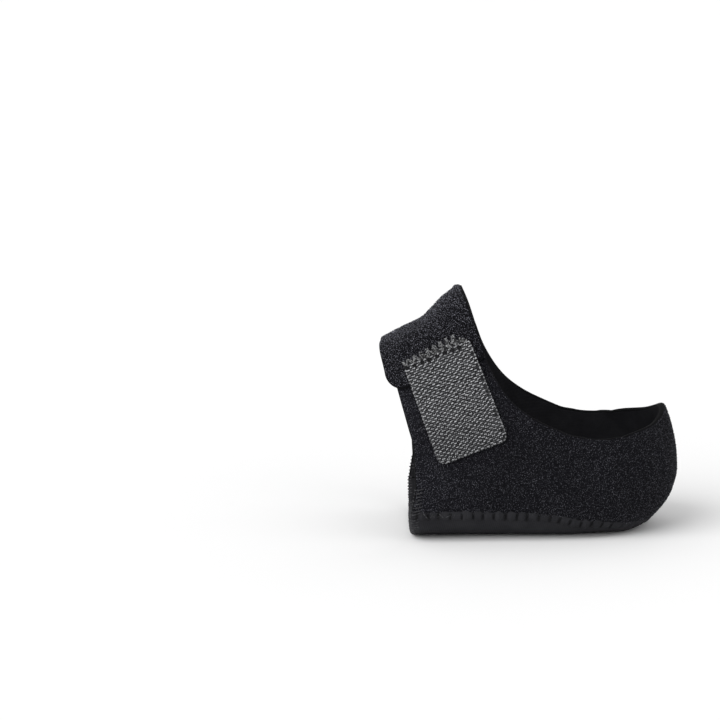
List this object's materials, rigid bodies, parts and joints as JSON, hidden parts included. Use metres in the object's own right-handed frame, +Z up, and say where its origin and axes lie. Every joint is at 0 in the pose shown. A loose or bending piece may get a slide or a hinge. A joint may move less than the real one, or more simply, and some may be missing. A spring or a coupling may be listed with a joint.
{
  "type": "gel heel cup",
  "caption": "Soft heel wrap: a plush cloth cup with side wings, a padded sole and a wide instep strap that closes on the outer wing with a hook patch.",
  "frame": {"origin": "on the flat underside of the sole, under the middle of the wrap's length", "axes": "+X towards the back of the heel, +Z up; the outer side, with the hook patch, faces -Y"},
  "size_m": [0.1217, 0.0712, 0.0991],
  "materials": {
    "plush_cloth": "black loop pile, matte",
    "sole_cloth": "black smooth knit, matte",
    "strap_plush": "black loop pile, matte",
    "hook_tape": "dark grey woven tape back"
  },
  "bodies": {
    "root": {"heel_cover": "plush_cloth", "sole_pad": "sole_cloth", "instep_strap": "strap_plush", "hook_patch": "hook_tape"}
  },
  "joints": []
}
